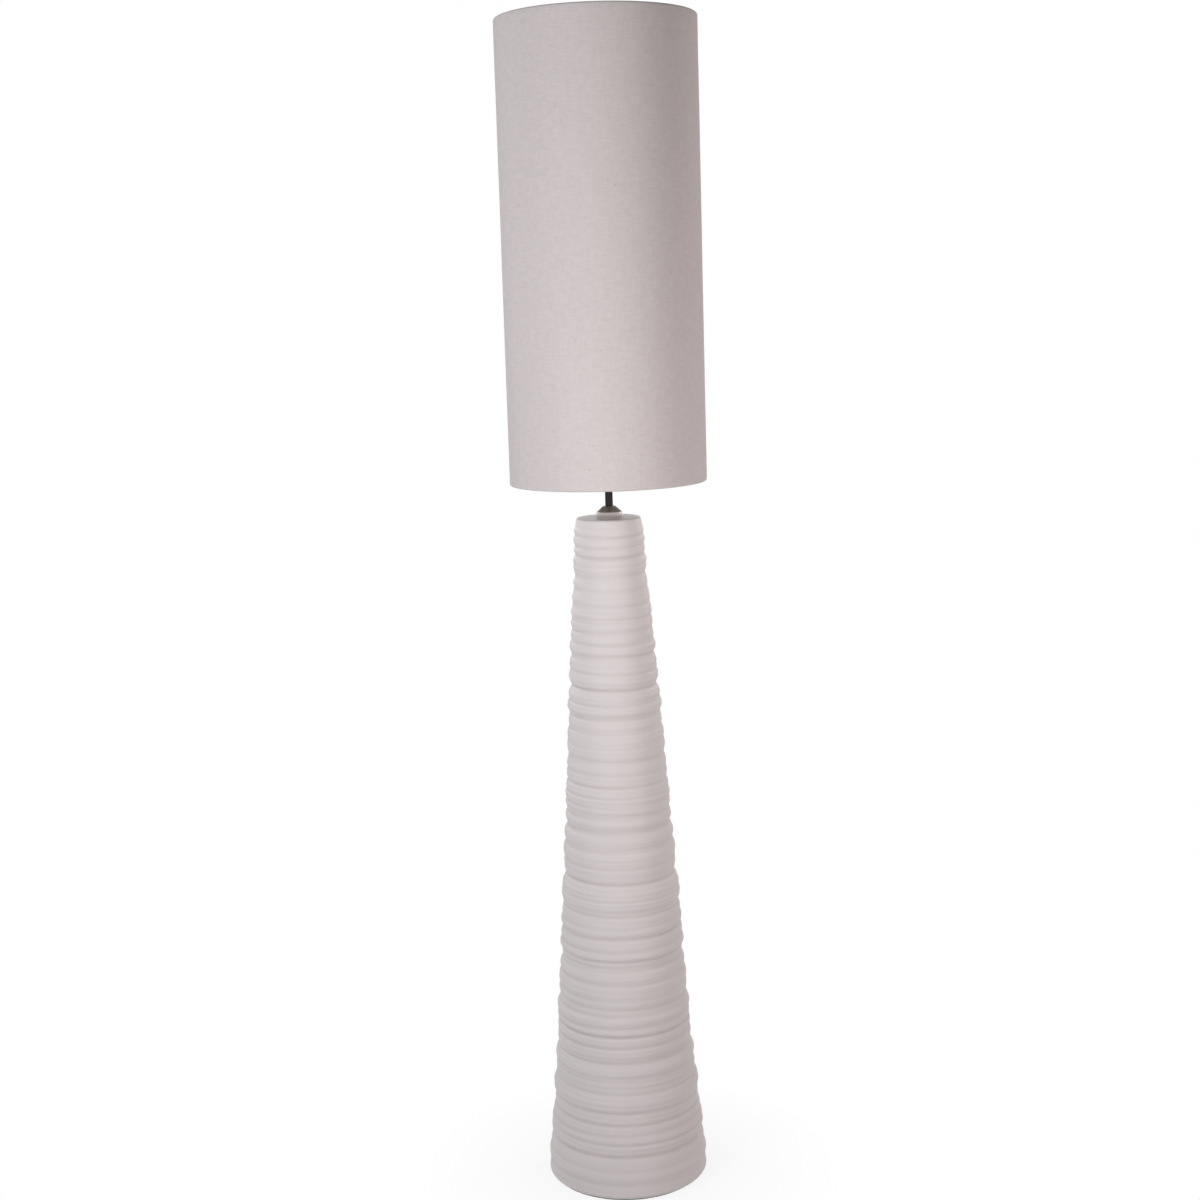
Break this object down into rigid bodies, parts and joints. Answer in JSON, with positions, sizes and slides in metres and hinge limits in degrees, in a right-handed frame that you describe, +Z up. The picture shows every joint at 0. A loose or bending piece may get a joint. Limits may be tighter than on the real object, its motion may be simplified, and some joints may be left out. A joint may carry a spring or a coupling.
{
  "type": "column floor lamp",
  "caption": "Tall tapered ceramic column with hand-thrown rings, carrying a slim linen cylinder shade over a screw lampholder; shade, clamp ring and bulb turn.",
  "frame": {"origin": "on the floor, under the middle of the column", "axes": "+Z up along the column; +Y to the rear, where the cord comes in; +X to the right seen from the front"},
  "size_m": [0.26, 0.26, 1.553],
  "materials": {
    "stoneware": "matt glaze over thrown stoneware",
    "felt": "pressed wool felt",
    "black_rubber": "moulded",
    "pale_rubber": "cut sheet",
    "zinc_steel": "zinc plated",
    "black_chrome": "polished dark chrome",
    "holder_plastic": "moulded satin",
    "porcelain": "glazed",
    "brass": "stamped",
    "white_wire": "powder coat",
    "shade_lining": "calendered film",
    "shade_linen": "plain woven linen look",
    "solder": "tinned",
    "cap_glass": "pressed black glass",
    "nickel": "nickel plated",
    "opal_glass": "opal"
  },
  "bodies": {
    "base": {"ceramic_column": "stoneware", "felt_ring": "felt", "cord_bush": "black_rubber", "foot_cushion": "black_rubber", "foot_washer": "zinc_steel", "spring_washer": "zinc_steel", "foot_nut": "zinc_steel", "threaded_rod": "zinc_steel", "cap_gasket": "pale_rubber", "column_cap": "black_chrome", "neck_tube": "black_chrome", "holder_cup": "holder_plastic", "holder_grub_screw": "zinc_steel", "holder_insert": "porcelain", "terminal_screws": "brass", "centre_contact": "brass", "screw_sleeve": "brass", "holder_shell": "holder_plastic"},
    "shade": {"fitter_ring": "white_wire", "spider_arm_1": "white_wire", "spider_arm_2": "white_wire", "spider_arm_3": "white_wire", "top_wire": "white_wire", "bottom_wire": "white_wire", "shade_lining": "shade_lining", "shade_fabric": "shade_linen"},
    "clamp_ring": {"shade_ring": "holder_plastic"},
    "bulb_foot": {"bulb_contact": "solder"},
    "bulb": {"bulb_insulator": "cap_glass", "bulb_cap": "nickel", "bulb_glass": "opal_glass"}
  },
  "joints": [
    {"name": "shade_turn", "type": "hinge", "parent": "base", "child": "shade", "pos_m": [0, 0, 1.02], "axis": [0, 0, 1], "continuous": true},
    {"name": "clamp_ring_turn", "type": "hinge", "parent": "base", "child": "clamp_ring", "pos_m": [0, 0, 1.03], "axis": [0, 0, 1], "range_deg": [0, 720]},
    {"name": "bulb_climb", "type": "slide", "parent": "base", "child": "bulb_foot", "axis": [0, 0, 1], "range_m": [0, 0.0182]},
    {"name": "bulb_turn", "type": "hinge", "parent": "bulb_foot", "child": "bulb", "pos_m": [0, 0, 1.05], "axis": [0, 0, 1], "range_deg": [0, 1800]}
  ],
  "couplings": [
    {"joint": "bulb_climb", "follows": "bulb_turn", "m_per_rad": 0.00057614}
  ]
}
